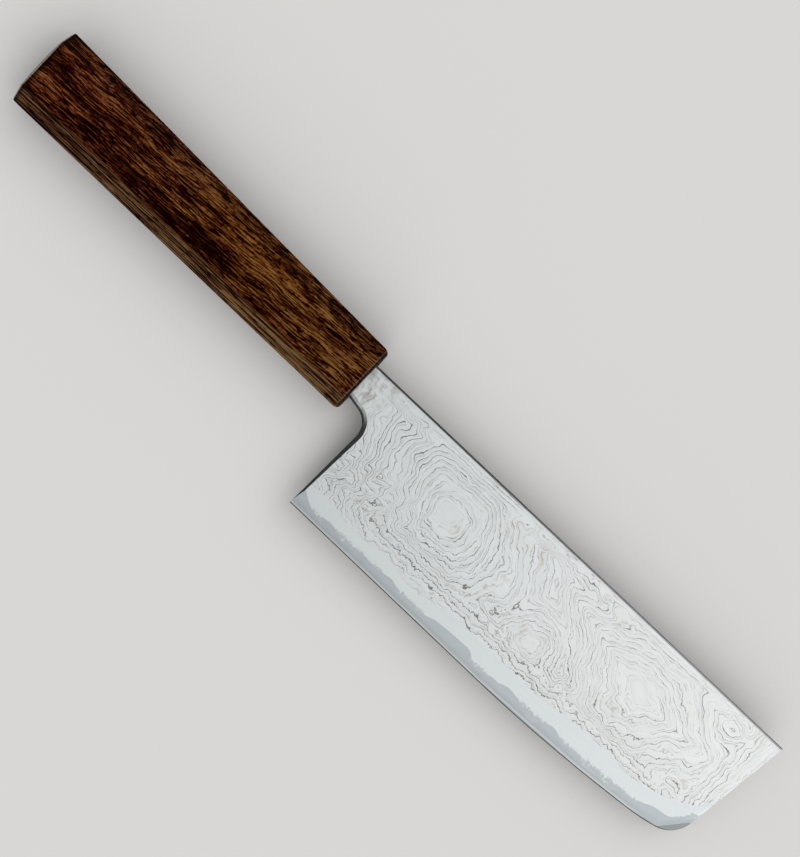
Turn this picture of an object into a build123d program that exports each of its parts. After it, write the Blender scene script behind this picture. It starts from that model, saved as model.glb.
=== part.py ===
"""Nakiri vegetable knife: a laminated blade hafted in an octagonal wooden handle.

The knife lies on its side. X runs from the handle towards the tip, Y from the cutting edge
towards the spine, Z up through the thickness. The origin is under the middle of the knife.
Lengths are in millimetres.
"""
import os

from build123d import *

# Blade, seen from its side
edge_length = 165.0
heel_setback = 9.3
heel_drop = 49.75
neck_height = 13.1
neck_fall = 1.95
choil_lean = 1.1
choil_radius = 6.6

# Blade, thickness
spine_thickness = 2.4
tip_thickness = 1.6
low_thickness = 1.05
bevel_thickness = 0.22
edge_thickness = 0.04
road_width = 5.0
bevel_width = 0.3
road_exit_run = 15.0

# Blade, eased edges
spine_ease_width = 1.3
spine_ease_depth = 0.38
spine_corner_ease = 0.3
choil_ease_width = 1.6
choil_ease_depth = 0.76
choil_ease_start = 0.22

# Laminate, as shares of the half thickness from the middle of the blade
core_level_share = 0.36
inner_level_share = 0.50

# Octagonal handle
handle_length = 140.0
butt_height = 28.6
butt_thickness = 22.0
butt_corner = 5.2
butt_centre_drop = 3.45
front_height = 24.1
front_thickness = 20.0
front_corner = 4.4
front_centre_drop = 6.45
butt_crown = 0.8
handle_ease = 0.6
front_ease = 1.0

# Tang and what holds it; the root's height is a share of the neck's
neck_insert = 4.0
neck_dressing = 0.1
tang_length = 98.0
tang_root_share = 0.8
tang_end_height = 5.0
tang_root_thickness = 1.8
tang_end_thickness = 1.4
mouth_gap = 0.3
seal_depth = 1.0
glue_gap = 0.6
glue_end_gap = 3.0

# How far every cut runs past what it cuts
overrun = 3.0

# The cutting edge from heel to front corner: shares of the edge length and of the heel drop
edge_shares = ((0.489, 1.007), (0.741, 0.978), (0.864, 0.942), (0.925, 0.906), (0.970, 0.744))

# Where the belly's bevel leaves the last arc of the edge in a straight line
road_exit_share = 0.68

# Upper limit of the bare core steel: shares of the spine length, and of the heel drop above
# the lowest point of the edge. Each stretch laps over the one before it.
right_core_shares = (
    ((0.040, 0.149), (0.059, 0.131), (0.071, 0.105), (0.095, 0.066), (0.112, 0.054), (0.123, 0.030)),
    ((0.115, 0.078), (0.122, 0.084), (0.145, 0.082), (0.158, 0.066), (0.176, 0.048)),
    ((0.169, 0.088), (0.186, 0.074), (0.210, 0.082), (0.261, 0.082), (0.282, 0.094), (0.293, 0.084),
     (0.320, 0.050), (0.340, 0.046), (0.356, 0.052), (0.373, 0.078), (0.412, 0.103), (0.456, 0.109),
     (0.472, 0.103), (0.492, 0.050), (0.522, 0.066), (0.538, 0.082), (0.548, 0.080), (0.561, 0.098),
     (0.579, 0.101), (0.594, 0.090), (0.607, 0.070), (0.637, 0.044), (0.656, 0.090), (0.672, 0.115),
     (0.699, 0.092), (0.737, 0.078), (0.781, 0.072), (0.799, 0.084), (0.824, 0.076), (0.843, 0.121),
     (0.863, 0.129), (0.904, 0.187), (0.930, 0.201), (0.960, 0.269), (0.984, 0.342)),
)
left_core_shares = (
    ((0.040, 0.118), (0.070, 0.100), (0.110, 0.062), (0.140, 0.052), (0.152, 0.034)),
    ((0.143, 0.074), (0.175, 0.096), (0.220, 0.088), (0.262, 0.052), (0.305, 0.070), (0.350, 0.106),
     (0.392, 0.092), (0.430, 0.054), (0.478, 0.048), (0.520, 0.086), (0.566, 0.104), (0.610, 0.066),
     (0.655, 0.056), (0.700, 0.098), (0.745, 0.112), (0.790, 0.078), (0.830, 0.092), (0.868, 0.140),
     (0.905, 0.172), (0.935, 0.222), (0.960, 0.270), (0.984, 0.335)),
)

# Upper limit of the plain inner layer, in the same shares
right_pattern_shares = (
    ((0.040, 0.179), (0.083, 0.185), (0.115, 0.189), (0.143, 0.161), (0.189, 0.153), (0.258, 0.167),
     (0.298, 0.141), (0.333, 0.137), (0.373, 0.167), (0.425, 0.197), (0.505, 0.185), (0.545, 0.195),
     (0.602, 0.189), (0.648, 0.205), (0.700, 0.225), (0.797, 0.227), (0.843, 0.225), (0.878, 0.249),
     (0.906, 0.277), (0.938, 0.330), (0.984, 0.452)),
)
left_pattern_shares = (
    ((0.040, 0.168), (0.090, 0.160), (0.150, 0.150), (0.205, 0.178), (0.270, 0.150), (0.345, 0.184),
     (0.420, 0.170), (0.490, 0.146), (0.560, 0.186), (0.640, 0.168), (0.710, 0.196), (0.785, 0.186),
     (0.850, 0.218), (0.905, 0.274), (0.940, 0.335), (0.984, 0.440)),
)

# Places worked out from the sizes above
spine_length = heel_setback + edge_length
lowest_drop = heel_drop * max(down for along, down in edge_shares)
mouth_x = (handle_length - spine_length) / 2
spine_y = (lowest_drop + butt_centre_drop - butt_height / 2) / 2
middle_z = butt_thickness / 2
middle = Plane.XY.offset(middle_z)
half_spine = spine_thickness / 2
taper_slope = (spine_thickness - tip_thickness) / 2 / spine_length
face_slope = (spine_thickness - low_thickness) / 2 / heel_drop
road_slope = (low_thickness - bevel_thickness) / 2 / road_width
ease_slope = spine_ease_depth / spine_ease_width - face_slope
choil_slope = choil_ease_depth / choil_ease_width
neck_slope = neck_fall / (heel_setback + choil_lean)
neck_back_height = neck_height - neck_slope * neck_insert
tang_root_height = tang_root_share * neck_height
dressed_thickness = 2 * (half_spine - face_slope * neck_height - neck_dressing)


def on_blade(along, down):
    """A place on the blade, along from the handle's face and down from the spine."""
    return (mouth_x + along, spine_y - down)


def wavy_place(along_share, height_share):
    """A place given as shares of the spine length and of the height above the edge."""
    return on_blade(along_share * spine_length, lowest_drop - height_share * heel_drop)


heel = on_blade(heel_setback, heel_drop)
tip = on_blade(spine_length, 0)
choil_corner = on_blade(heel_setback + choil_lean, neck_height + neck_fall)
neck_back_top = on_blade(-neck_insert, 0)
neck_back_low = on_blade(-neck_insert, neck_back_height)
edge_points = [
    on_blade(heel_setback + along * edge_length, down * heel_drop) for along, down in edge_shares
]


def across_handle(along, drop):
    """A plane square to the knife, with its own x along Y and its own y along Z."""
    x, y = on_blade(along, drop)
    return Plane(origin=(x, y, middle_z), x_dir=(0, 1, 0), z_dir=(1, 0, 0))


def centre_drop(along):
    """How far the handle's centre line lies below the spine line."""
    return front_centre_drop - (butt_centre_drop - front_centre_drop) * along / handle_length


def leaning_plane(side, height, slope, taper):
    """A plane over one side of the blade: its height at the spine, how fast it falls towards
    the spine and how fast it falls towards the tip."""
    start = (mouth_x, spine_y, middle_z + side * height)
    return Plane(origin=start, z_dir=(taper, slope, side))


def layer_plane(side, share):
    """The plane at a share of the blade's half thickness."""
    return leaning_plane(side, half_spine * share, -face_slope * share, taper_slope * share)


def draw_edge():
    """The cutting edge: straight from the heel, then arcs that run into each other."""
    stretches = [Line(heel, edge_points[0])]
    for near, far in zip(edge_points, edge_points[1:]):
        stretches.append(TangentArc(near, far, tangent=stretches[-1] % 1))
    return stretches


def sweep_cutter(path, profile):
    """A cutter with the given profile, inwards and upwards, along a path in the middle plane."""
    heading = path % 0
    inwards = Vector(-heading.Y, heading.X, 0)
    with BuildPart() as cutter:
        with BuildSketch(Plane(origin=path @ 0, x_dir=inwards, z_dir=heading)):
            with BuildLine():
                Polyline(*profile, close=True)
            make_face()
        sweep(path=path)
        mirror(about=middle)
    return cutter.part


# Cutter for the two bevels that run along the edge and out over the front corner
with BuildLine(middle):
    stretches = draw_edge()
with BuildLine(middle) as road_path:
    Line(stretches[0] @ 0 - (stretches[0] % 0) * overrun, stretches[0] @ 0)
    for stretch in stretches[:-1]:
        add(stretch)
    corner = stretches[-1]
    turn = TangentArc(corner @ 0, corner @ road_exit_share, tangent=corner % 0)
    Line(turn @ 1, turn @ 1 + (turn % 1) * road_exit_run)

half_edge = edge_thickness / 2
half_bevel = bevel_thickness / 2
road_meets_face = bevel_width + road_width * road_slope / (road_slope - face_slope)
road_top = half_bevel + road_slope * (road_meets_face - bevel_width)
road_cutter = sweep_cutter(
    road_path.wires()[0],
    (
        (-overrun, half_edge),
        (0, half_edge),
        (bevel_width, half_bevel),
        (road_meets_face, road_top),
        (-overrun, road_top),
    ),
)

# Cutter that eases the choil and the underside of the neck
with BuildLine(middle) as choil_path:
    away = (Vector(*neck_back_low) - Vector(*choil_corner)).normalized() * overrun
    below = (Vector(*heel) - Vector(*choil_corner)).normalized() * overrun
    FilletPolyline(
        (neck_back_low[0] + away.X, neck_back_low[1] + away.Y),
        choil_corner,
        (heel[0] + below.X, heel[1] + below.Y),
        radius=choil_radius,
    )
choil_reach = (half_spine - choil_ease_start) / choil_slope
choil_cutter = sweep_cutter(
    choil_path.wires()[0],
    (
        (-overrun, choil_ease_start),
        (0, choil_ease_start),
        (choil_reach, half_spine),
        (-overrun, half_spine),
    ),
)

# The whole blade before it is told apart into its layers
with BuildPart() as blank:
    with BuildSketch(middle):
        with BuildLine():
            Polyline(neck_back_low, neck_back_top, tip, edge_points[-1])
            draw_edge()
            FilletPolyline(neck_back_low, choil_corner, heel, radius=choil_radius)
        make_face()
    extrude(amount=half_spine, both=True)
    for side in (1, -1):
        split(bisect_by=layer_plane(side, 1), keep=Keep.BOTTOM)
        eased = half_spine - spine_ease_depth
        split(bisect_by=leaning_plane(side, eased, ease_slope, taper_slope), keep=Keep.BOTTOM)
        cornered = eased - spine_corner_ease * (1 - ease_slope)
        split(bisect_by=leaning_plane(side, cornered, 1, taper_slope), keep=Keep.BOTTOM)
    add(road_cutter, mode=Mode.SUBTRACT)
    add(choil_cutter, mode=Mode.SUBTRACT)
    with BuildSketch(across_handle(0, neck_height / 2)):
        Rectangle(neck_height + 2 * overrun, spine_thickness + 2 * overrun)
        Rectangle(neck_height + 2 * overrun, dressed_thickness, mode=Mode.SUBTRACT)
    extrude(amount=-neck_insert - overrun, mode=Mode.SUBTRACT)


def area_below(line_shares):
    """The part of the blade's side below a wavy line that is drawn in lapping stretches."""
    lines = [[wavy_place(*share) for share in stretch] for stretch in line_shares]
    first = lines[0][0]
    last = lines[-1][-1]
    low_right = on_blade(spine_length, lowest_drop + overrun)
    with BuildSketch(middle) as area:
        with BuildLine():
            for line in lines:
                Spline(*line)
            for before, after in zip(lines, lines[1:]):
                Line(before[-1], after[0])
            Polyline(last, low_right, (first[0], low_right[1]), first)
        make_face()
    return area.sketch


def make_cladding(side, core_shares, pattern_shares):
    """The patterned outer layer and the plain inner layer on one side of the core."""
    with BuildPart() as outer:
        add(blank.part)
        split(bisect_by=layer_plane(side, inner_level_share), keep=Keep.TOP)
        extrude(area_below(pattern_shares), amount=side * spine_thickness, mode=Mode.SUBTRACT)
    with BuildPart() as inner:
        add(blank.part)
        split(bisect_by=layer_plane(side, core_level_share), keep=Keep.TOP)
        extrude(area_below(core_shares), amount=side * spine_thickness, mode=Mode.SUBTRACT)
        add(outer.part, mode=Mode.SUBTRACT)
    return outer, inner


damascus_cladding_right, inner_layer_right = make_cladding(1, right_core_shares, right_pattern_shares)
damascus_cladding_left, inner_layer_left = make_cladding(-1, left_core_shares, left_pattern_shares)

# Core steel: bare along the edge, hidden between the claddings above it
with BuildPart() as core_steel:
    add(blank.part)
    for layer in (damascus_cladding_right, inner_layer_right, damascus_cladding_left, inner_layer_left):
        add(layer.part, mode=Mode.SUBTRACT)


# Soft steel tang, welded square to the back of the neck
with BuildPart() as tang:
    with BuildSketch(across_handle(-tang_length, centre_drop(-tang_length))):
        Rectangle(tang_end_height, tang_end_thickness)
    with BuildSketch(across_handle(-neck_insert, neck_back_height / 2)):
        Rectangle(tang_root_height, tang_root_thickness)
    loft()

# Hole in the handle: a mouth for the neck and a tapered bore for the tang
mouth_width = neck_height + 2 * mouth_gap
mouth_thickness = spine_thickness + 2 * mouth_gap
bore_end = tang_length + glue_end_gap
with BuildPart() as socket:
    with BuildSketch(across_handle(0, neck_height / 2)):
        Rectangle(mouth_width, mouth_thickness)
    extrude(amount=-neck_insert)
    with BuildSketch(across_handle(-bore_end, centre_drop(-bore_end))):
        Rectangle(tang_end_height + 2 * glue_gap, tang_end_thickness + 2 * glue_gap)
    with BuildSketch(across_handle(-neck_insert, neck_back_height / 2)):
        Rectangle(tang_root_height + 2 * glue_gap, tang_root_thickness + 2 * glue_gap)
    loft()

# Resin seal, flush with the handle's face around the neck
with BuildPart() as mouth_seal:
    with BuildSketch(across_handle(0, neck_height / 2)):
        Rectangle(mouth_width, mouth_thickness)
    extrude(amount=-seal_depth)
    add(blank.part, mode=Mode.SUBTRACT)

# Adhesive bed that fills the rest of the hole
with BuildPart() as tang_adhesive:
    add(socket.part)
    for piece in (blank, tang, mouth_seal):
        add(piece.part, mode=Mode.SUBTRACT)


def octagon(along, drop, height, thickness, corner):
    """The eight corners of the handle's section, in turn around the handle."""
    high = thickness / 2
    wide = height / 2
    quarter = [(wide, high - corner), (wide - corner, high)]
    half = quarter + [(-y, z) for y, z in reversed(quarter)]
    section = across_handle(along, drop)
    return [section.from_local_coords(Vector(y, z)) for y, z in half + [(-y, -z) for y, z in half]]


# Octagonal handle: a block cut to eight flats, with a crowned butt
butt_ring = octagon(-handle_length, butt_centre_drop, butt_height, butt_thickness, butt_corner)
front_ring = octagon(0, front_centre_drop, front_height, front_thickness, front_corner)
block_height = max(butt_height, front_height) + 2 * (front_centre_drop - butt_centre_drop) + overrun
block_thickness = max(butt_thickness, front_thickness) + overrun
crown_radius = ((butt_height / 2) ** 2 + butt_crown**2) / (2 * butt_crown)
crown_x, crown_y = on_blade(crown_radius - handle_length, butt_centre_drop)
with BuildPart() as handle:
    with BuildSketch(across_handle(-handle_length, butt_centre_drop)):
        Rectangle(block_height, block_thickness)
    extrude(amount=handle_length)
    for corner, next_corner, ahead in zip(butt_ring, butt_ring[1:] + butt_ring[:1], front_ring):
        outwards = (next_corner - corner).cross(ahead - corner)
        split(bisect_by=Plane(origin=corner, z_dir=outwards), keep=Keep.BOTTOM)
    with Locations((crown_x, crown_y, middle_z)):
        Sphere(crown_radius, mode=Mode.INTERSECT)
    chamfer(faces().sort_by(Axis.X)[-1].edges(), length=front_ease)
    fillet(edges(), radius=handle_ease)
    add(socket.part, mode=Mode.SUBTRACT)

core_steel.part.label = "core_steel"
inner_layer_right.part.label = "inner_layer_right"
inner_layer_left.part.label = "inner_layer_left"
damascus_cladding_right.part.label = "damascus_cladding_right"
damascus_cladding_left.part.label = "damascus_cladding_left"
tang.part.label = "tang"
tang_adhesive.part.label = "tang_adhesive"
mouth_seal.part.label = "mouth_seal"
handle.part.label = "handle"

os.makedirs("parts", exist_ok=True)
export_step(core_steel.part, "parts/core_steel.step")
export_step(inner_layer_right.part, "parts/inner_layer_right.step")
export_step(inner_layer_left.part, "parts/inner_layer_left.step")
export_step(damascus_cladding_right.part, "parts/damascus_cladding_right.step")
export_step(damascus_cladding_left.part, "parts/damascus_cladding_left.step")
export_step(tang.part, "parts/tang.step")
export_step(tang_adhesive.part, "parts/tang_adhesive.step")
export_step(mouth_seal.part, "parts/mouth_seal.step")
export_step(handle.part, "parts/handle.step")
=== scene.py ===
"""Looks of the nakiri knife: a forge-welded blade in a burnt and lacquered octagonal handle.

Everything is in metres in the CAD frame: the knife lies on its side, X runs from the handle
towards the tip, Y from the cutting edge towards the spine, and the floor is at Z = 0.
The materials measure the blade in millimetres, along from the handle's face, down from the
spine and out from the middle of the blade.
"""

import math

import bpy
import numpy as np
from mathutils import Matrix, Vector


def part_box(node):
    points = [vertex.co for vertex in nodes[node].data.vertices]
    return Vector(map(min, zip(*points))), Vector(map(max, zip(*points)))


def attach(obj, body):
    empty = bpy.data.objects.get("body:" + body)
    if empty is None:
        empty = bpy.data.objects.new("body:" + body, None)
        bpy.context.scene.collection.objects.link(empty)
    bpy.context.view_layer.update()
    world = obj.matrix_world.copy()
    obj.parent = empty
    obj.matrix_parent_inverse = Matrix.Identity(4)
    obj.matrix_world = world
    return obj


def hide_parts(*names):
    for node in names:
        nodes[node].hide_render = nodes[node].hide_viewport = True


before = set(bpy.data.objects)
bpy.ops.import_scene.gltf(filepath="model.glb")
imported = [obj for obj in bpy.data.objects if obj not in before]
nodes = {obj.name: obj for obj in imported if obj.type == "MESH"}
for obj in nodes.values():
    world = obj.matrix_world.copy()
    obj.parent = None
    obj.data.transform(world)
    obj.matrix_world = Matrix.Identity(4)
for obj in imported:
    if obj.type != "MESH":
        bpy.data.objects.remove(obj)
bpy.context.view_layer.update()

MM = 0.001

# Places read from the frame
handle_low, handle_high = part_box("handle")
tang_low, tang_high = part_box("tang")
mouth_x = handle_high.x
butt_x = handle_low.x
spine_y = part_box("core_steel")[1].y
middle_z = (tang_low.z + tang_high.z) / 2
handle_length = mouth_x - butt_x

# Octagonal handle: height along Y, thickness along Z, how much each corner is cut back. The
# third size gives the octagon along which the butt's rim gets a painted pale highlight.
butt_size = (28.5 * MM, 22.0 * MM, 5.2 * MM)
front_size = (24.1 * MM, 20.0 * MM, 4.4 * MM)
rim_highlight_size = (28.6 * MM, 22.0 * MM, 5.2 * MM)
butt_centre_y = spine_y - 3.45 * MM
front_centre_y = spine_y - 6.45 * MM
butt_crown = 0.8 * MM
ridge_radius = 0.9 * MM
least_ridge_radius = 0.2 * MM
butt_radius = 0.7 * MM
front_radius = 1.5 * MM
mouth_size = (13.7 * MM, 3.0 * MM)
neck_height = 13.1 * MM
mouth_centre_y = spine_y - neck_height / 2
mouth_depth = 4.0 * MM
bore_depth = 101.0 * MM
bore_root_size = (11.68 * MM, 3.0 * MM)
bore_root_y = spine_y - 6.17 * MM
bore_end_size = (6.2 * MM, 2.6 * MM)
relief_depth = 0.06 * MM

# How many points lie along each flat of the handle's mesh, in turn, and around each ridge
flat_steps = (26, 62, 26, 40)
ridge_steps = 5

# How many sections the mesh has on the butt's face, on each rounded rim, along the sides and
# on the front face, and over how many of the sides' sections the bulge of the butt dies away
butt_face_count = 26
rim_count = 6
side_count = 150
front_face_count = 22
bulge_count = 3


class Value:
    """A number that a node tree works out. Arithmetic on it adds nodes to the tree."""

    def __init__(self, graph, socket):
        self.graph = graph
        self.socket = socket

    def __add__(self, other):
        return self.graph.math("ADD", self, other)

    def __radd__(self, other):
        return self.graph.math("ADD", other, self)

    def __sub__(self, other):
        return self.graph.math("SUBTRACT", self, other)

    def __rsub__(self, other):
        return self.graph.math("SUBTRACT", other, self)

    def __mul__(self, other):
        return self.graph.math("MULTIPLY", self, other)

    def __truediv__(self, other):
        return self.graph.math("DIVIDE", self, other)


# The sockets of a Mix node that hold colours
mix_bottom, mix_top, mix_result = 6, 7, 2


class Graph:
    """A node tree that is written as short expressions."""

    def __init__(self, tree):
        self.tree = tree

    def node(self, kind, inputs=None, **settings):
        """A new node with these settings, and numbers or Values in its inputs."""
        node = self.tree.nodes.new(kind)
        for name, setting in settings.items():
            setattr(node, name, setting)
        for name, value in (inputs or {}).items():
            if isinstance(value, Value):
                self.tree.links.new(value.socket, node.inputs[name])
            else:
                node.inputs[name].default_value = value
        return node

    def value(self, node, output=0):
        return Value(self, node.outputs[output])

    def math(self, operation, *values):
        """The result of a mathematical operation on numbers or Values."""
        return self.value(self.node("ShaderNodeMath", dict(enumerate(values)), operation=operation))

    def ramp(self, value, start, end, low=0.0, high=1.0):
        """Goes smoothly from low to high while value goes from start to end."""
        inputs = {"Value": value, "From Min": start, "From Max": end, "To Min": low, "To Max": high}
        return self.value(self.node("ShaderNodeMapRange", inputs, interpolation_type="SMOOTHSTEP"))

    def highest(self, first, second):
        return self.math("MAXIMUM", first, second)

    def zigzag(self, value):
        """Goes from 0 up to 1 and back to 0 while value goes from one whole number to the next."""
        return self.math("PINGPONG", value, 0.5) * 2.0

    def curve(self, value, stops):
        """A number that follows stops, pairs of place and level, as value goes from 0 to 1."""
        node = self.node("ShaderNodeValToRGB", {"Fac": value})
        self.set_stops(node.color_ramp, [(place, (level,) * 3) for place, level in stops])
        return self.value(node)

    def colours(self, value, stops):
        """A colour that follows stops, pairs of place and colour, as value goes from 0 to 1."""
        node = self.node("ShaderNodeValToRGB", {"Fac": value})
        self.set_stops(node.color_ramp, stops)
        return self.value(node)

    def set_stops(self, ramp, stops):
        """Gives a colour ramp its stops, pairs of place and colour."""
        while len(ramp.elements) < len(stops):
            ramp.elements.new(1.0)
        for element, (place, colour) in zip(ramp.elements, stops):
            element.position = place
            element.color = (*colour, 1.0)

    def blend(self, share, first, second, mode="MIX"):
        """The colour first with share of second laid over it. A colour is a triple or a Value."""
        bottom, top = [c if isinstance(c, Value) else (*c, 1.0) for c in (first, second)]
        inputs = {"Factor": share, mix_bottom: bottom, mix_top: top}
        node = self.node("ShaderNodeMix", inputs, data_type="RGBA", blend_type=mode)
        return self.value(node, mix_result)

    def shaded(self, colour, level):
        """The colour times level, a Value that is a number or a colour itself."""
        return self.blend(1.0, colour, level, mode="MULTIPLY")

    def point(self, x, y, z=0.0):
        return self.value(self.node("ShaderNodeCombineXYZ", {"X": x, "Y": y, "Z": z}))

    def parts(self, vector):
        node = self.node("ShaderNodeSeparateXYZ", {"Vector": vector})
        return [self.value(node, i) for i in range(3)]

    def noise(self, place, scale=1.0, detail=2.0, roughness=0.5):
        """Noise about 0.5 at a place, with scale waves per unit of length."""
        inputs = {"Vector": place, "Scale": scale, "Detail": detail, "Roughness": roughness}
        return self.value(self.node("ShaderNodeTexNoise", inputs))

    def swing(self, place, **settings):
        """Noise about 0 at a place."""
        return self.noise(place, **settings) - 0.5


def rgb(red, green, blue):
    """A colour given as it looks on a screen, 0 to 255, as the linear colour that Blender takes."""
    shares = [level / 255 for level in (red, green, blue)]
    return tuple(s / 12.92 if s <= 0.04045 else ((s + 0.055) / 1.055) ** 2.4 for s in shares)


def new_material(name, **settings):
    """A material with one Principled shader, its even settings, and the graph to dress it."""
    material = bpy.data.materials.new(name)
    material.use_nodes = True
    graph = Graph(material.node_tree)
    shader = material.node_tree.nodes["Principled BSDF"]
    for socket, setting in settings.items():
        shader.inputs[socket].default_value = setting
    return material, graph, shader


def finish_material(graph, shader, colour, roughness, height, depth):
    """Gives the shader its colour and roughness, and a bump of that depth in metres."""
    links = graph.tree.links
    links.new(colour.socket, shader.inputs["Base Color"])
    links.new(roughness.socket, shader.inputs["Roughness"])
    bump = graph.node("ShaderNodeBump", {"Height": height, "Distance": depth, "Strength": 1.0})
    links.new(bump.outputs["Normal"], shader.inputs["Normal"])


def material_place(graph):
    """Where a surface point is in the CAD frame, in metres."""
    return graph.value(graph.node("ShaderNodeTexCoord"), "Object")


def blade_place(graph):
    """Along, down and out on the blade, in millimetres."""
    x, y, z = graph.parts(material_place(graph))
    return (x - mouth_x) / MM, (spine_y - y) / MM, (z - middle_z) / MM


# Steel. Lengths are in millimetres, and noise scales in waves per millimetre.

face_tint = (0.465, 0.485, 0.485)
tip_tint = (0.474, 0.482, 0.479)
plain_tint = (0.446, 0.470, 0.476)
core_tint = (0.245, 0.265, 0.275)
line_tint = (0.170, 0.172, 0.165)
dot_tint = (0.12, 0.12, 0.11)
# Painted shade and dark reflection for the spine, the choil's flank and the cutting edge
painted_shade_tint = (0.035, 0.037, 0.037)
stain_tint = (0.37, 0.36, 0.33)
neck_tint = (0.24, 0.24, 0.22)

# How far the edge's line reaches from the handle's face, how far the front leans back for each
# millimetre down, and how many layers lie in each millimetre of thickness
blade_reach = 174.3
front_rake = 0.135
layers_each_mm_out = 5.0

# How near the middle between two layers, 0 to 1, a line begins and is whole, and how many layers
# away its twin lies
line_begins = 0.80
line_whole = 0.96
twin_offset = 0.36

etch_depth = 0.004 * MM
brush_depth = 0.003 * MM

# How far below the spine the edge lies, at shares of the blade's reach from the handle's face
edge_line = [(0.05, 49.75), (0.52, 50.1), (0.75, 48.7), (0.87, 46.9), (0.93, 45.1), (0.97, 37.0)]

# A side's pattern has a few eyes: the place of the middle, the width over the height, how much
# the half towards the handle leans, how near the rings come to diamonds, their spacing, and the
# layer in the middle. Between the eyes the layers slope: how many for each millimetre along and
# down, and the layer at the start.
right_pattern = dict(
    seed=11.0,
    slope=dict(along=-0.65, down=0.35, start=24.0),
    eyes=(
        dict(along=48.2, down=18.4, stretch=1.3, lean=0.0, corners=0.0, spacing=1.65, rise=0.0),
        dict(along=129.5, down=19.0, stretch=1.7, lean=0.5, corners=1.0, spacing=1.6, rise=0.0),
        dict(along=90.6, down=30.5, stretch=1.0, lean=0.0, corners=0.0, spacing=1.8, rise=9.0),
    ),
)
left_pattern = dict(
    seed=71.0,
    slope=dict(along=-0.55, down=0.40, start=20.0),
    eyes=(
        dict(along=38.0, down=24.0, stretch=1.4, lean=0.0, corners=0.3, spacing=1.65, rise=1.0),
        dict(along=88.0, down=16.0, stretch=1.7, lean=-0.3, corners=1.0, spacing=1.6, rise=0.0),
        dict(along=142.0, down=22.0, stretch=1.3, lean=0.0, corners=0.0, spacing=1.65, rise=2.0),
    ),
)
blend_width = 2.0


def eye_distance(graph, along, down, eye):
    """Distance from the middle of an eye of the pattern, in layers of the steel."""
    x = (along - eye["along"]) / eye["stretch"]
    backwards = graph.math("MINIMUM", x, 0.0)
    y = down - eye["down"] - backwards * eye["lean"]
    oval = graph.math("SQRT", x * x + y * y)
    diamond = graph.math("ABSOLUTE", x) * 0.98 + graph.math("ABSOLUTE", y) * 0.76
    reach = oval + (graph.math("SMOOTH_MAX", oval, diamond, 1.0) - oval) * eye["corners"]
    return reach / eye["spacing"] + eye["rise"]


def eyes_and_slope(graph, along, down, pattern):
    """Layers ringed around the eyes and sloping between them, and how clearly they show."""
    layers = None
    shown = 1.0
    for eye in pattern["eyes"]:
        reach = eye_distance(graph, along, down, eye)
        shown = graph.ramp(reach - eye["rise"], 0.9, 3.2, low=0.05) * shown
        layers = reach if layers is None else graph.math("SMOOTH_MIN", layers, reach, blend_width)
    slope = pattern["slope"]
    sloping = along * slope["along"] + down * slope["down"] + slope["start"]
    return graph.math("SMOOTH_MAX", layers, sloping, blend_width), shown


def run_along_rims(graph, along, down, ripple, ripple_across, layers):
    """Turns the layers to run along the spine, the edge and the front close to each of them."""
    frontwards = along + down * front_rake
    by_spine = graph.ramp(down + ripple * 4.0, 6.5, 2.0)
    by_edge = graph.ramp(down + ripple * 5.0, 31.0, 36.0) * graph.ramp(along, 15.0, 40.0, low=0.3)
    by_front = graph.ramp(frontwards + ripple * 4.0, 158.0, 168.0)
    runs = (
        dict(share=by_spine, across=down, start=0.0, layer=12.5, rate=-0.7, wave=1.5),
        dict(share=by_edge, across=down, start=33.0, layer=12.0, rate=0.6, wave=4.0),
        dict(share=by_front, across=frontwards, start=165.0, layer=13.0, rate=0.7, wave=3.0),
    )
    for run in runs:
        from_start = run["across"] + ripple_across * run["wave"] - run["start"]
        layers = layers + (from_start * run["rate"] + run["layer"] - layers) * run["share"]
    return layers


def layer_count(graph, along, down, out, pattern):
    """How many layers have been ground through at a place, and how clearly they show there."""
    place = graph.point(along, down, pattern["seed"])
    other_place = graph.point(along, down, pattern["seed"] + 7.0)
    broad = graph.swing(place, scale=0.05, detail=1.0)
    broad_across = graph.swing(other_place, scale=0.06, detail=1.0)
    ripple = graph.swing(place, scale=0.2, detail=1.0)
    ripple_across = graph.swing(other_place, scale=0.22, detail=1.0)
    jitter = graph.swing(place, scale=0.8, detail=3.0, roughness=0.6)

    # Low behind the choil the layers are folded to and fro
    folded = graph.ramp(down, 18.0, 26.0) * graph.ramp(along, 48.0, 34.0, low=0.15)
    folds = graph.zigzag(along * 0.16 + ripple * 1.2 + down * 0.08) - 0.5
    bent_along = along + broad * 12.0 + ripple * 4.0
    bent_down = down + broad_across * 7.0 + ripple_across * 3.5 + folds * folded * 4.75

    layers, shown = eyes_and_slope(graph, bent_along, bent_down, pattern)
    layers = run_along_rims(graph, along, down, ripple, ripple_across, layers)
    unrest = jitter * graph.ramp(down, 20.0, 34.0, low=0.45, high=1.3)
    return layers + out * layers_each_mm_out + unrest, shown


def painted_edge_shade(graph, colour):
    """Paints dark reflection and shade on the spine's corner, the choil's flank and the edge's
    underside.
    """
    along, down, out = blade_place(graph)
    lean = graph.parts(graph.value(graph.node("ShaderNodeTexCoord"), "Normal"))
    lean_x, lean_y = lean[:2]
    tipwards = graph.ramp(along, 20.0, 150.0, low=0.95, high=0.55)
    corner = graph.ramp(lean_y, 0.4, 0.6) * graph.ramp(lean_y, 0.95, 0.8, low=0.5)
    rim = graph.ramp(down, 0.90, 0.55) * graph.ramp(lean_y, 0.95, 0.8)
    spine = graph.highest(corner, rim) * tipwards
    flank = graph.ramp(lean_x, -0.2, -0.38, high=0.9)
    near_edge = graph.ramp(graph.math("ABSOLUTE", out), 0.75, 0.45)
    under = graph.ramp(lean_y, -0.2, -0.28, high=0.95) * near_edge
    dark = graph.highest(spine, graph.highest(flank, under))
    return graph.blend(dark, colour, painted_shade_tint)


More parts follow.
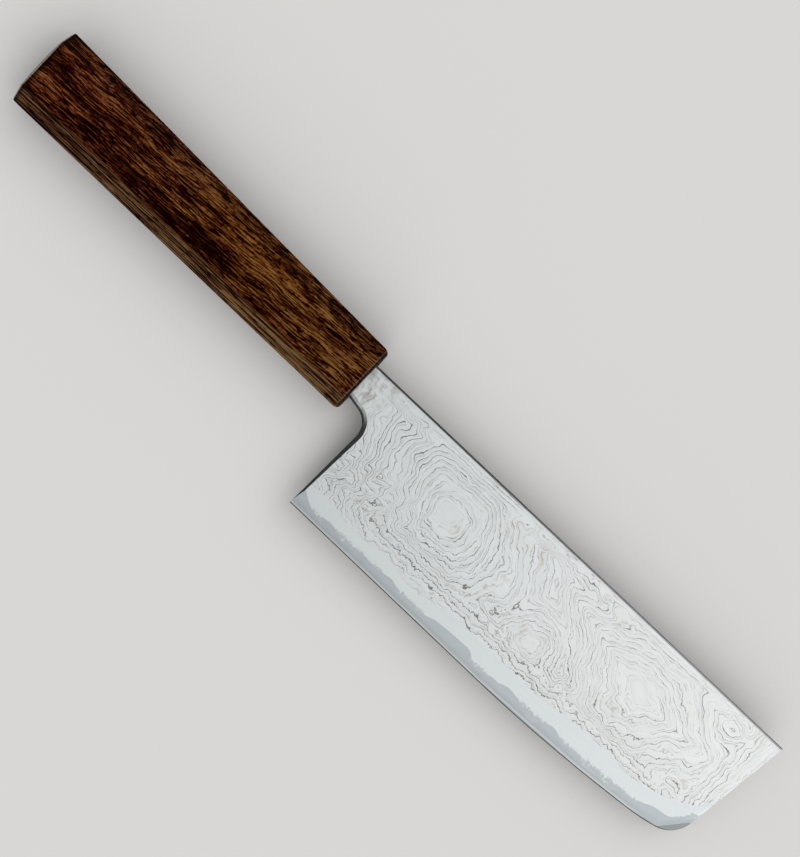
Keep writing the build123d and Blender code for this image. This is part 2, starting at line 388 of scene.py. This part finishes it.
def etched_lines(graph, along, down, place, layers, shown):
    """The layers' dark lines, some with a twin, and the specks on them, each 0 to about 1."""
    # They come and go, and are strongest by the heel and low down
    marked = graph.highest(graph.ramp(down, 24.0, 34.0), graph.ramp(along, 45.0, 20.0))
    patches = graph.noise(place, scale=0.30, detail=3.0, roughness=0.6)
    strength = graph.ramp(patches, 0.34, 0.62, low=0.18, high=0.95) + marked * 0.45
    each_layer = graph.noise(graph.point(layers * 0.8, along * 0.03, down * 0.03), detail=1.0)
    strength = strength * graph.ramp(each_layer, 0.40, 0.62, low=0.45, high=1.3)
    turns = graph.zigzag(layers)
    line = graph.ramp(turns, line_begins - marked * 0.05, line_whole) * strength * shown

    twin_patches = graph.noise(place, scale=0.22, detail=3.0, roughness=0.6)
    twin_strength = graph.ramp(twin_patches, 0.42, 0.64, low=0.05, high=0.6)
    twin_turns = graph.zigzag(layers + twin_offset)
    twin = graph.ramp(twin_turns, line_begins, line_whole) * twin_strength * shown
    specks = graph.ramp(graph.noise(place, scale=1.5), 0.56, 0.66) * line
    return graph.highest(line, twin), specks


def bare_face(graph, along, down, place, layers, fine):
    """The face's colour between the lines, with its dull stains and the blots at the neck."""
    shades = graph.math("SINE", layers * 2.1) * 0.5 + 0.5
    level = graph.ramp(down, 18.0, 38.0, low=1.0, high=0.95) * (fine * 0.10 + shades * 0.04 + 0.93)
    face = graph.shaded(graph.blend(graph.ramp(along, 20.0, 160.0), face_tint, tip_tint), level)
    stains = graph.ramp(graph.noise(place, scale=0.16, detail=3.0, roughness=0.6), 0.56, 0.70)
    by_line = graph.ramp(graph.zigzag(layers), 0.1, 0.8, high=0.6)
    dulled = graph.blend(stains * by_line, face, stain_tint)
    blots = graph.ramp(graph.noise(place, scale=0.35, detail=3.0, roughness=0.7), 0.44, 0.62)
    at_neck = graph.ramp(along + down * 0.4, 19.0, 7.0, high=0.6)
    return graph.blend(blots * at_neck, dulled, neck_tint)


def damascus_material(name, pattern):
    """Etched layers: fine wavering lines that fade towards the tip, plain layer and neck."""
    material, graph, shader = new_material(name, Metallic=1.0)
    along, down, out = blade_place(graph)
    place = graph.point(along, down, out)
    layers, shown = layer_count(graph, along, down, out, pattern)
    lines, specks = etched_lines(graph, along, down, place, layers, shown)
    tipwards = graph.ramp(along, 90.0, 120.0, low=1.0, high=0.75)
    by_plain_layer = graph.ramp(down, 42.0, 39.5, low=0.15)
    by_neck = graph.ramp(along, 5.0, 14.0, low=0.3)
    fading = tipwards * by_plain_layer * by_neck

    fine = graph.noise(place, scale=1.8, detail=3.0, roughness=0.7)
    face = bare_face(graph, along, down, place, layers, fine)
    lined = graph.blend(lines * fading, face, line_tint)
    specked = graph.blend(specks * fading * 0.8, lined, dot_tint)
    colour = painted_edge_shade(graph, specked)
    roughness = 0.34 + lines * 0.14 + (fine - 0.5) * 0.1
    finish_material(graph, shader, colour, roughness, fine * 0.3 - lines, etch_depth)
    return material


def edge_gap(graph, along, down):
    """How far a place on the blade lies above the cutting edge, in millimetres."""
    return graph.curve(along / blade_reach, edge_line) - down


def plain_steel_material():
    """The plain layer, with the dark of the core showing through in specks along its limit."""
    material, graph, shader = new_material("plain_steel", Metallic=1.0)
    along, down, out = blade_place(graph)
    place = graph.point(along, down, out)
    brushed = graph.noise(graph.point(along * 0.12, down * 3.0, out), detail=3.0, roughness=0.6)
    cloud = graph.noise(place, scale=0.25, detail=3.0)
    specks = graph.noise(place, scale=1.6, detail=3.0, roughness=0.6)
    plain = graph.shaded(plain_tint, 0.885 + brushed * 0.09 + cloud * 0.08)
    near_core = graph.ramp(edge_gap(graph, along, down), 5.5, 2.5, high=0.55)
    shown = graph.ramp(specks + near_core + (cloud - 0.5) * 0.8, 0.72, 0.95, high=0.7)
    colour = painted_edge_shade(graph, graph.blend(shown, plain, core_tint))
    finish_material(graph, shader, colour, 0.30 + cloud * 0.10, brushed, brush_depth)
    return material


def core_steel_material():
    """The core, darkest next to the edge and paler above, with pale wisps, a bright edge and a
    painted shadow line along its very rim.
    """
    material, graph, shader = new_material("core_steel", Metallic=1.0)
    along, down, out = blade_place(graph)
    gap = edge_gap(graph, along, down)
    brushed = graph.noise(graph.point(along * 0.10, down * 4.0, out), detail=3.0, roughness=0.6)
    cloud = graph.noise(graph.point(along, down * 1.6, out), scale=0.22, detail=3.0, roughness=0.6)
    specks = graph.noise(graph.point(along, down, out), scale=1.8, detail=3.0, roughness=0.6)
    shade = 0.88 + brushed * 0.10 + cloud * 0.22 + graph.ramp(gap, 1.0, 3.2, high=0.15)
    core = graph.shaded(core_tint, shade)
    wisps = graph.ramp(cloud + (specks - 0.5) * 0.3, 0.56, 0.74, high=0.35)
    wispy = graph.blend(wisps * graph.ramp(gap, 3.0, 5.0), core, plain_tint)
    shine = graph.ramp(gap, 1.1, 0.7) * graph.ramp(along, 150.0, 160.0, low=0.35, high=0.0)
    shined = graph.blend(shine, wispy, face_tint)
    # Painted shadow: a thin dark line along the very edge, weaker towards the tip
    last = graph.ramp(gap, 0.42, 0.25) * graph.ramp(along, 70.0, 110.0, low=0.75, high=0.4)
    colour = painted_edge_shade(graph, graph.blend(last, shined, painted_shade_tint))
    finish_material(graph, shader, colour, 0.26 + cloud * 0.12, brushed, brush_depth)
    return material


def tang_material():
    """Soft steel with the dull blotchy scale that the forge leaves. Scales are per metre."""
    material, graph, shader = new_material("tang_steel", Metallic=1.0)
    place = material_place(graph)
    blotches = graph.noise(place, scale=400.0, detail=4.0, roughness=0.6)
    pits = graph.noise(place, scale=1500.0)
    colour = graph.colours(blotches, [(0.35, (0.05, 0.048, 0.05)), (0.65, (0.18, 0.17, 0.165))])
    height = blotches + pits * 0.4
    finish_material(graph, shader, colour, 0.5 + pits * 0.25, height, 0.05 * MM)
    return material


adhesive_tones = ((0.02, 0.012, 0.006), (0.07, 0.045, 0.02))
seal_tones = ((0.006, 0.004, 0.003), (0.02, 0.013, 0.009))


def resin_material(name, dark, light, lowest_roughness):
    """Cast resin with slow streaks and fine bubbles. Scales are per metre."""
    material, graph, shader = new_material(name)
    place = material_place(graph)
    streaks = graph.noise(place, scale=300.0, detail=3.0)
    bubbles = graph.noise(place, scale=2500.0, detail=1.0)
    colour = graph.colours(streaks, [(0.35, dark), (0.7, light)])
    roughness = lowest_roughness + bubbles * 0.15
    finish_material(graph, shader, colour, roughness, graph.ramp(bubbles, 0.6, 0.75), 0.02 * MM)
    return material


# Wood. Lengths are in millimetres: along from the front face, across from the spine's line,
# and up from the middle plane.

# Darker and paler places on the upper side: the middle, the half lengths and the heat
scorched_places = (
    dict(along=-138.0, across=5.5, length=9.0, width=3.0, heat=0.5),
    dict(along=-131.0, across=1.5, length=16.0, width=2.2, heat=0.35),
    dict(along=-135.0, across=-8.0, length=12.0, width=3.5, heat=0.35),
    dict(along=-106.0, across=-4.5, length=16.0, width=3.5, heat=0.45),
    dict(along=-108.0, across=-9.0, length=9.0, width=2.5, heat=0.3),
    dict(along=-76.0, across=-7.5, length=22.0, width=4.0, heat=0.5),
    dict(along=-76.0, across=1.2, length=16.0, width=2.2, heat=0.35),
    dict(along=-60.0, across=-6.5, length=16.0, width=3.5, heat=0.45),
    dict(along=-40.0, across=-7.0, length=9.0, width=1.6, heat=0.3),
    dict(along=-20.0, across=-2.5, length=12.0, width=2.4, heat=0.3),
    dict(along=-10.0, across=4.5, length=14.0, width=2.6, heat=0.5),
    dict(along=-42.0, across=-1.0, length=18.0, width=3.0, heat=-0.45),
    dict(along=-14.0, across=1.0, length=14.0, width=1.2, heat=-0.35),
    dict(along=-20.0, across=-6.0, length=14.0, width=1.8, heat=-0.35),
    dict(along=-88.0, across=-1.8, length=26.0, width=1.4, heat=-0.45),
    dict(along=-125.0, across=-1.0, length=12.0, width=1.4, heat=-0.4),
    dict(along=-75.0, across=5.8, length=20.0, width=2.0, heat=-0.35),
)

wood_tones = [
    (0.08, rgb(7, 1, 1)),
    (0.19, rgb(20, 3, 2)),
    (0.30, rgb(38, 10, 4)),
    (0.42, rgb(53, 20, 9)),
    (0.54, rgb(68, 34, 14)),
    (0.67, rgb(85, 48, 20)),
    (0.81, rgb(100, 62, 28)),
    (0.95, rgb(113, 77, 42)),
]
# Painted sheen of the lacquer on the lower side
painted_sheen_tone = rgb(108, 90, 62)
charred_tone = rgb(9, 4, 3)
# Painted highlight for the lacquered rims of both ends
rim_highlight_tone = rgb(150, 138, 125)
end_grain_tones = [(0.35, rgb(48, 34, 25)), (0.65, rgb(112, 95, 78))]

# How much green and blue the wood has, at shares of its length from the front
green_levels = [(0.1, 1.08), (0.33, 0.99), (0.6, 0.97), (0.85, 0.85)]
blue_levels = [(0.1, 1.05), (0.33, 0.76), (0.45, 0.80), (0.6, 1.04), (0.9, 1.04)]

# How the grain leans, and the line of the ridge below which the side grain shows
grain_slant = 0.04
lower_ridge = -12.5
lower_ridge_slant = 0.011

grain_depth = 0.05 * MM


def grain_lines(graph, along, across, up, seed):
    """Thin dark lines, about one to each unit across the grain, that waver and fade in and out."""
    bend_place = graph.point(along * 0.04, across * 0.3, up * 0.3 + seed)
    bend = graph.noise(bend_place, detail=2.0, roughness=0.6)
    turns = graph.zigzag(across + up * 0.4 + bend * 5.0)
    present_place = graph.point(along * 0.10, across * 0.9, up * 0.5 + seed + 9.0)
    present = graph.noise(present_place, detail=1.0)
    return graph.ramp(turns, 0.55, 0.9) * graph.ramp(present, 0.34, 0.56)


def wood_heat(graph, along, leaning, deep, up):
    """How far the burning has darkened the wood at a place, 0 to about 1."""
    place = graph.point(along * 0.05, leaning * 0.16, deep * 0.16)
    heat = graph.noise(place, detail=3.0, roughness=0.6)
    upper_side = graph.ramp(up, 4.0, 8.0, high=0.65)
    for spot in scorched_places:
        far = (along - spot["along"]) / spot["length"]
        wide = (leaning - spot["across"]) / spot["width"]
        scorch = graph.ramp(far * far + wide * wide, 1.8, 0.0, high=spot["heat"])
        heat = heat + scorch * upper_side
    return heat + graph.ramp(along, -9.0, 0.0, high=0.2)


def wood_figure(graph, place):
    """Heat, streaks, fibres, dark lines and side grain of the wood at a place, each about 0 to 1.

    The side grain is 1 on the lower side, where the grain is straight and close, else 0.
    """
    x, y, z = graph.parts(place)
    along, across, up = (x - mouth_x) / MM, (y - spine_y) / MM, (z - middle_z) / MM
    wander = graph.swing(graph.point(along * 0.03, across * 0.1, up * 0.1), detail=1.0)
    sway = graph.swing(graph.point(along * 0.09, across * 0.25, up * 0.25), detail=1.0)
    from_ridge = across - lower_ridge + (along + handle_length / MM) * lower_ridge_slant
    side_grain = graph.ramp(from_ridge, 0.3, -0.3)
    calm = 1.0 - side_grain * 0.8
    leaning = across - along * grain_slant * calm + wander * 4.0 * calm + sway * 1.3 * calm
    deep = up + wander * 4.0 * calm

    stretch = along * (1.0 - side_grain * 0.6)
    strands = graph.noise(graph.point(stretch * 0.12, leaning * 2.5, deep * 1.3 + 40.0), detail=1.0)
    fine = graph.noise(graph.point(stretch * 0.35, leaning * 3.3, deep * 1.7 + 60.0), detail=0.0)
    pores = graph.noise(graph.point(stretch * 0.8, leaning * 2.0, deep * 1.2 + 150.0), detail=0.0)
    fibres = graph.ramp(strands, 0.38, 0.62, high=0.5) + fine * 0.5
    fibres = fibres - graph.ramp(pores, 0.56, 0.66, high=0.25)
    broad_lines = grain_lines(graph, stretch, leaning * 0.75, deep * 0.75, 80.0)
    close_lines = grain_lines(graph, stretch * 1.6, leaning * 1.35, deep * 1.35, 120.0)
    lines = graph.highest(broad_lines * (1.0 - side_grain * 0.6), close_lines * 0.9)

    streak_place = graph.point(along * 0.06, leaning * 0.5, deep * 0.5 + 20.0)
    streaks = graph.noise(streak_place, detail=2.0, roughness=0.6)
    heat = wood_heat(graph, along, leaning, deep, up)
    return heat, streaks, fibres, lines, side_grain


def past_octagon(graph, across, up):
    """How far a place lies outside the octagon of the butt's painted rim highlight, or less than 0
    inside it.
    """
    height, thickness, corner = [length / MM for length in rim_highlight_size]
    wide, high = graph.math("ABSOLUTE", across), graph.math("ABSOLUTE", up)
    past_corner = (wide + high - ((height + thickness) / 2 - corner)) * math.sqrt(0.5)
    return graph.highest(wide - height / 2, graph.highest(high - thickness / 2, past_corner))


def ends_with_rim_highlights(graph, place, fibres, colour):
    """Chars the wood next to both ends, shows the butt's end grain and paints a pale highlight on
    the rims.
    """
    x, y, z = graph.parts(place)
    from_butt = (x - butt_x) / MM
    from_front = (mouth_x - x) / MM
    across, up = (y - butt_centre_y) / MM, (z - middle_z) / MM
    char = graph.highest(graph.ramp(from_butt, 3.2, 1.7), graph.ramp(from_front, 1.2, 0.5))
    charred = graph.blend(char * 0.75, colour, charred_tone)
    drift = graph.noise(place, scale=120.0) * 2.0
    end_grain = graph.noise(graph.point(across * 0.9, up * 0.35, drift), detail=4.0, roughness=0.7)
    end_colour = graph.colours(end_grain, end_grain_tones)
    ended = graph.blend(graph.ramp(from_butt, 1.25, 0.95), charred, end_colour)
    # Painted highlight: a pale line on the butt's rounded rim and a faint one by the front face
    rim = graph.ramp(past_octagon(graph, across, up), -1.6, -0.8)
    butt_highlight = graph.ramp(from_butt, 1.35, 1.05) * rim
    front_highlight = graph.ramp(graph.math("ABSOLUTE", from_front - 0.9), 0.4, 0.1, high=0.18)
    rim_highlight = graph.highest(butt_highlight, front_highlight) * graph.ramp(fibres, 0.3, 0.5, low=0.45, high=0.9)
    return graph.blend(rim_highlight, ended, rim_highlight_tone)


def wood_material():
    """Burnt and lacquered wood: one tone for each place, read off the scale of wood tones."""
    gloss = {"Specular IOR Level": 0.02, "Specular Tint": (1.0, 0.25, 0.15, 1.0)}
    material, graph, shader = new_material("burnt_wood", **gloss)
    place = material_place(graph)
    heat, streaks, fibres, lines, side_grain = wood_figure(graph, place)
    from_front = (mouth_x - graph.parts(place)[0]) / MM
    golden = graph.ramp(from_front, 85.0, 15.0, low=-0.06, high=0.03)
    shaded_side = side_grain * graph.ramp(from_front, 70.0, 120.0, low=-0.03, high=0.10)
    even = 0.63 + golden - shaded_side - (heat - 0.5) * 0.75 + (streaks - 0.5) * 0.40
    tone = even + (fibres - 0.5) * 1.15 - lines * 0.5
    share = from_front * MM / handle_length
    hue = graph.point(1.0, graph.curve(share, green_levels), graph.curve(share, blue_levels))
    warm = graph.shaded(graph.colours(tone, wood_tones), hue)
    # Painted sheen: the lower side, most on its lighter wood, is tinted pale olive as if its
    # lacquer mirrored the pale room
    sheened = graph.blend(side_grain * graph.ramp(tone, 0.2, 0.9, high=0.6), warm, painted_sheen_tone)
    colour = ends_with_rim_highlights(graph, place, fibres, sheened)
    roughness = 0.32 + lines * 0.3 + (fibres - 0.5) * 0.2
    finish_material(graph, shader, colour, roughness, fibres - lines * 0.6, grain_depth)
    return material


def octagon(size, inset=0.0):
    """The corners of the handle's section as (y, z) pairs about its centre, in turn."""
    height, thickness, corner = size
    wide = height / 2 - inset
    high = thickness / 2 - inset
    cut = corner - inset * (2 - math.sqrt(2))
    quarter = [(wide, high - cut), (wide - cut, high)]
    half = quarter + [(-y, z) for y, z in reversed(quarter)]
    return [Vector(p) for p in half] + [-Vector(p) for p in half]


def rounded_ring(corners, radius):
    """Points around the octagon with its ridges rounded, the same number for each size."""
    points = []
    for i, corner in enumerate(corners):
        before = corners[i - 1]
        after = corners[(i + 1) % len(corners)]
        inwards = (before - corner).normalized()
        onwards = (after - corner).normalized()
        tangent = radius * math.tan(math.pi / 8)
        start, end = corner + inwards * tangent, corner + onwards * tangent
        centre = corner + (inwards + onwards).normalized() * radius / math.cos(math.pi / 8)
        arm = start - centre
        turn = math.copysign(math.pi / 4, arm.cross(end - centre))
        for step in range(ridge_steps):
            angle = turn * step / ridge_steps
            cosine, sine = math.cos(angle), math.sin(angle)
            turned = (arm.x * cosine - arm.y * sine, arm.x * sine + arm.y * cosine)
            points.append(centre + Vector(turned))
        next_start = after - onwards * tangent
        count = flat_steps[i % 4]
        points += [end.lerp(next_start, step / count) for step in range(count)]
    return np.array(points)


def rectangle_ring(size, model):
    """As many points around a rectangle as model has, each in the same direction as there."""
    half = np.array(size) / 2
    reach = np.abs(model / half).max(axis=1, keepdims=True)
    return model / reach


def section(share, inset=0.0):
    """The handle's section at a share of its length from the butt, pulled in by inset."""
    size = [b + (f - b) * share for b, f in zip(butt_size, front_size)]
    return rounded_ring(octagon(size, inset), max(ridge_radius - inset, least_ridge_radius))


def centre_at(share):
    """Where the section's centre is along Y, at a share of the handle's length."""
    return butt_centre_y + (front_centre_y - butt_centre_y) * share


def crown_x(ring):
    """Where the crowned butt is along X, at each point of a section."""
    crown_radius = ((butt_size[0] / 2) ** 2 + butt_crown**2) / (2 * butt_crown)
    reach = (ring**2).sum(axis=1)
    return butt_x + crown_radius - np.sqrt(crown_radius**2 - reach)


def placed(ring, x, centre_y):
    """A section's points in the CAD frame."""
    xs = np.broadcast_to(x, len(ring))
    return np.column_stack([xs, centre_y + ring[:, 0], middle_z + ring[:, 1]])


def butt_rings():
    """The crowned face of the butt from its middle outwards, and the rounded rim."""
    rings = []
    face = section(0.0, butt_radius)
    for share in np.linspace(0.03, 0.97, butt_face_count):
        rings.append(placed(face * share, crown_x(face * share), butt_centre_y))
    for step in range(rim_count):
        angle = math.pi / 2 * step / rim_count
        ring = section(0.0, butt_radius * (1 - math.sin(angle)))
        inwards = butt_radius * (1 - math.cos(angle))
        rings.append(placed(ring, crown_x(ring) + inwards, butt_centre_y))
    return rings


def side_rings():
    """The sections along the sides. The bulge of the butt dies away over the first few."""
    rings = []
    first = butt_crown + butt_radius
    last = handle_length - front_radius
    bulge = crown_x(section(0.0)) - butt_x + butt_radius
    for share in np.linspace(0, 1, side_count):
        x = first + (last - first) * share
        fading = max(0.0, 1 - share * side_count / bulge_count)
        whole = x / handle_length
        ring_x = butt_x + x + (bulge - first) * fading
        rings.append(placed(section(whole), ring_x, centre_at(whole)))
    return rings


def front_rings():
    """The rounded rim of the front, its face, the mouth and the hole for the tang."""
    rings = []
    for step in range(1, rim_count + 1):
        angle = math.pi / 2 * step / rim_count
        ring = section(1.0, front_radius * (1 - math.cos(angle)))
        x = mouth_x - front_radius * (1 - math.sin(angle))
        rings.append(placed(ring, x, front_centre_y))

    face = section(1.0, front_radius)
    shift = np.array([mouth_centre_y - front_centre_y, 0.0])
    mouth = rectangle_ring(mouth_size, face) + shift
    for share in np.linspace(0.04, 1.0, front_face_count):
        rings.append(placed(face + (mouth - face) * share, mouth_x, front_centre_y))

    step_x = mouth_x - mouth_depth
    rings.append(placed(mouth, step_x, front_centre_y))
    rings.append(placed(rectangle_ring(bore_root_size, face), step_x, bore_root_y))
    end_centre_y = centre_at(1 - bore_depth / handle_length)
    rings.append(placed(rectangle_ring(bore_end_size, face), mouth_x - bore_depth, end_centre_y))
    return rings


def carve_relief(piece):
    """Sinks the open pores and soft fibres of the wood into the surface."""
    tree = bpy.data.node_groups.new("wood_relief", "GeometryNodeTree")
    tree.interface.new_socket("Geometry", in_out="INPUT", socket_type="NodeSocketGeometry")
    tree.interface.new_socket("Geometry", in_out="OUTPUT", socket_type="NodeSocketGeometry")
    graph = Graph(tree)
    start = graph.node("NodeGroupInput")
    place = graph.value(graph.node("GeometryNodeInputPosition"))
    normal = graph.value(graph.node("GeometryNodeInputNormal"))
    fibres, lines = wood_figure(graph, place)[2:4]
    depth = (graph.ramp(fibres, 0.60, 0.40) * 0.5 + lines * 0.5) * -relief_depth
    scaled = graph.node("ShaderNodeVectorMath", {0: normal, "Scale": depth}, operation="SCALE")
    moved = graph.node("GeometryNodeSetPosition", {"Offset": graph.value(scaled)})
    tree.links.new(start.outputs[0], moved.inputs["Geometry"])
    end = graph.node("NodeGroupOutput")
    tree.links.new(moved.outputs[0], end.inputs[0])
    modifier = piece.modifiers.new("relief", "NODES")
    modifier.node_group = tree
    carved = piece.evaluated_get(bpy.context.evaluated_depsgraph_get())
    mesh = bpy.data.meshes.new_from_object(carved)
    piece.modifiers.clear()
    piece.data = mesh


def make_handle():
    """The handle as one mesh: its sections joined in turn, with both ends closed."""
    rings = butt_rings() + side_rings() + front_rings()
    around = len(rings[0])
    first_centre = rings[0].mean(axis=0)
    last_centre = rings[-1].mean(axis=0)
    points = np.vstack(rings + [first_centre, last_centre])
    faces = []
    for ring in range(len(rings) - 1):
        near, far = ring * around, (ring + 1) * around
        for i in range(around):
            j = (i + 1) % around
            faces.append((near + i, near + j, far + j, far + i))

    near, far = len(points) - 2, len(points) - 1
    last = (len(rings) - 1) * around
    for i in range(around):
        j = (i + 1) % around
        faces.append((near, j, i))
        faces.append((far, last + i, last + j))
    mesh = bpy.data.meshes.new("wooden_handle")
    mesh.from_pydata(points.tolist(), [], faces)
    mesh.polygons.foreach_set("use_smooth", [True] * len(mesh.polygons))
    mesh.update()
    piece = bpy.data.objects.new("wooden_handle", mesh)
    bpy.context.scene.collection.objects.link(piece)
    carve_relief(piece)
    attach(piece, "root")
    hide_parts("handle")
    return piece


# The room

camera_above = 0.75
camera_place = (mouth_x + 18.54 * MM, spine_y - 9.35 * MM, middle_z + camera_above)
camera_turn = math.radians(43.36)
seen_width = 0.25016
floor_reach = 20.0
floor_colour = (0.625, 0.618, 0.606, 1.0)

light_level = 2.0
horizon_level = 0.8

# How bright the room is from the handle's side, at 0, to the tip's side, at 1
side_levels = [
    (0.2, 0.22),
    (0.33, 0.27),
    (0.42, 0.34),
    (0.47, 0.48),
    (0.50, 0.71),
    (0.55, 0.80),
    (0.61, 1.15),
    (0.75, 0.92),
    (1.0, 0.8),
]


def make_camera():
    """A camera straight above the knife, turned so that the knife lies slantwise in its view."""
    data = bpy.data.cameras.new("camera")
    data.sensor_fit = "HORIZONTAL"
    data.sensor_width = 36.0
    data.lens = data.sensor_width * camera_above / seen_width
    camera = bpy.data.objects.new("camera", data)
    camera.location = camera_place
    camera.rotation_euler = (0.0, 0.0, camera_turn)
    bpy.context.scene.collection.objects.link(camera)
    bpy.context.scene.camera = camera


def make_world():
    """A soft light overhead, brighter over the tip than over the handle, in a dimmer room.

    Where the room is seen, straight or mirrored, its horizon is pale.
    """
    world = bpy.data.worlds.new("room")
    world.use_nodes = True
    graph = Graph(world.node_tree)
    x, y, z = graph.parts(graph.value(graph.node("ShaderNodeTexCoord"), "Generated"))
    overhead = graph.ramp(z - y * 0.15, 0.05, 0.6, low=0.12)
    above_floor = graph.ramp(z, 0.0, 0.16, low=0.15)
    along = graph.curve(x * 0.5 + 0.5, side_levels)
    light = overhead * above_floor * along * light_level

    ray = graph.node("ShaderNodeLightPath")
    seen = graph.value(ray, "Is Camera Ray")
    for kind in ("Is Glossy Ray", "Is Transmission Ray"):
        seen = graph.highest(seen, graph.value(ray, kind))
    backdrop = graph.highest(light, graph.ramp(z, 0.22, 0.12, high=horizon_level))
    shown = light + (backdrop - light) * seen
    shader = world.node_tree.nodes["Background"]
    world.node_tree.links.new(shown.socket, shader.inputs["Color"])
    shader.inputs["Strength"].default_value = 1.0
    bpy.context.scene.world = world


def make_floor():
    """A wide pale floor under the knife."""
    corners = [(-floor_reach, -floor_reach), (floor_reach, -floor_reach)]
    corners += [(-x, -y) for x, y in corners]
    mesh = bpy.data.meshes.new("floor")
    mesh.from_pydata([(x, y, 0.0) for x, y in corners], [], [(0, 1, 2, 3)])
    floor = bpy.data.objects.new("floor", mesh)
    bpy.context.scene.collection.objects.link(floor)
    settings = {"Base Color": floor_colour, "Roughness": 0.9, "Specular IOR Level": 0.2}
    mesh.materials.append(new_material("floor", **settings)[0])


def dress(name, material):
    """Gives a CAD node its material."""
    for slot in nodes[name].material_slots:
        slot.material = material


right_damascus = damascus_material("damascus_right", right_pattern)
left_damascus = damascus_material("damascus_left", left_pattern)
plain_steel = plain_steel_material()
adhesive = resin_material("adhesive", *adhesive_tones, lowest_roughness=0.35)
seal_resin = resin_material("seal_resin", *seal_tones, lowest_roughness=0.2)
burnt_wood = wood_material()

dress("damascus_cladding_right", right_damascus)
dress("damascus_cladding_left", left_damascus)
dress("inner_layer_right", plain_steel)
dress("inner_layer_left", plain_steel)
dress("core_steel", core_steel_material())
dress("tang", tang_material())
dress("tang_adhesive", adhesive)
dress("mouth_seal", seal_resin)
make_handle().data.materials.append(burnt_wood)
dress("handle", burnt_wood)

make_camera()
make_world()
make_floor()
bpy.context.scene.view_settings.view_transform = "Standard"
